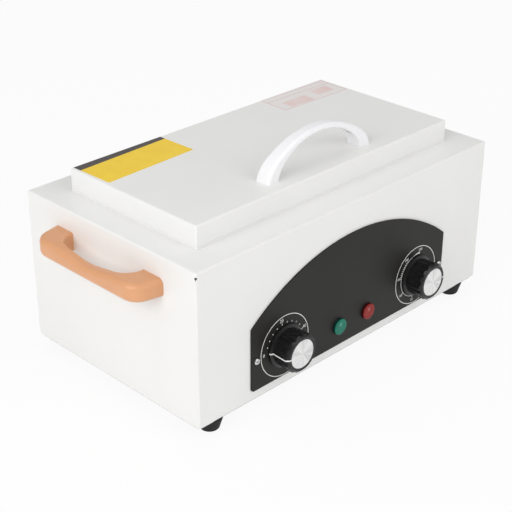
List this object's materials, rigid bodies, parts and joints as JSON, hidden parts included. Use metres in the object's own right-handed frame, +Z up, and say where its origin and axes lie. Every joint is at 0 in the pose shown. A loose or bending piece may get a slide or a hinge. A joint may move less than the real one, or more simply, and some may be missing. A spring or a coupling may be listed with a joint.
{
  "type": "dry heat sterilizer",
  "caption": "Bench-top dry heat sterilizer: white box with a rear-hinged lid, arched control panel, timer and temperature knobs, signal lamps and side handles.",
  "frame": {"origin": "on the surface the feet stand on, under the middle of the whole outline (knobs and inlet included)", "axes": "+X to the right along the front, +Y from the control panel to the rear wall, +Z up"},
  "size_m": [0.412, 0.2336, 0.2064],
  "materials": {
    "white_paint": "smooth white powder coat",
    "zinc_sheet": "zinc-coated sheet",
    "stainless": "stainless sheet, fine grain",
    "panel_black": "satin black with white print",
    "knob_black": "moulded, satin to glossy",
    "disc_aluminium": "spun, fine circular grain",
    "green_lens": "clear tinted lens",
    "red_lens": "clear tinted lens",
    "tan_plastic": "moulded, fine satin",
    "white_plastic": "moulded, satin",
    "black_plastic": "moulded, matt",
    "rubber": "matt",
    "zinc_screw": "zinc plated",
    "glass_wool": "felted fibre",
    "element_sheath": "heat-darkened sheath",
    "copper": "drawn copper",
    "contact_brass": "plated blades",
    "control_brown": "moulded phenolic",
    "block_cream": "moulded, satin"
  },
  "bodies": {
    "housing": {"base_insulation": "glass_wool", "base_plate": "zinc_sheet", "base_screws": "zinc_screw", "bulb_clips": "stainless", "chamber_insulation": "glass_wool", "control_panel": "panel_black", "foot_front_left": "rubber", "foot_front_right": "rubber", "foot_nuts": "zinc_screw", "foot_rear_left": "rubber", "foot_rear_right": "rubber", "foot_screws": "zinc_screw", "green_lamp_body": "black_plastic", "green_lamp_lens": "green_lens", "handle_screws": "zinc_screw", "heat_shield": "zinc_sheet", "heater_clamps": "zinc_sheet", "heater_nuts": "zinc_screw", "heating_element": "element_sheath", "hinge_base_rivets": "zinc_screw", "hinge_pins": "zinc_screw", "inlet_pins": "contact_brass", "inlet_screws": "zinc_screw", "inner_chamber": "stainless", "instrument_tray": "stainless", "left_handle": "tan_plastic", "left_hinge_base_leaf": "stainless", "outer_casing": "white_paint", "panel_screws": "zinc_screw", "power_inlet": "black_plastic", "red_lamp_body": "black_plastic", "red_lamp_lens": "red_lens", "right_handle": "tan_plastic", "right_hinge_base_leaf": "stainless", "terminal_block": "block_cream", "thermal_cutout": "control_brown", "thermostat_body": "control_brown", "thermostat_bulb": "copper", "thermostat_screws": "zinc_screw", "timer_body": "control_brown", "timer_screws": "zinc_screw"},
    "lid": {"lid_shell": "white_paint", "lid_liner": "stainless", "lid_insulation": "glass_wool", "lid_handle": "white_plastic", "lid_handle_screws": "zinc_screw", "left_hinge_lid_leaf": "stainless", "right_hinge_lid_leaf": "stainless", "hinge_lid_rivets": "zinc_screw"},
    "temperature_control": {"temperature_knob": "knob_black", "temperature_disc": "disc_aluminium", "temperature_shaft": "zinc_screw"},
    "timer_control": {"timer_knob": "knob_black", "timer_disc": "disc_aluminium", "timer_shaft": "zinc_screw"}
  },
  "joints": [
    {"name": "lid_hinge", "type": "hinge", "parent": "housing", "child": "lid", "pos_m": [0, 0.08879, 0.1555], "axis": [-1, 0, 0], "range_deg": [0, 100]},
    {"name": "temperature_turn", "type": "hinge", "parent": "housing", "child": "temperature_control", "pos_m": [0.085, -0.09731, 0.051], "axis": [0, 1, 0], "range_deg": [0, 282]},
    {"name": "timer_turn", "type": "hinge", "parent": "housing", "child": "timer_control", "pos_m": [-0.085, -0.09731, 0.051], "axis": [0, 1, 0], "range_deg": [0, 320]}
  ]
}
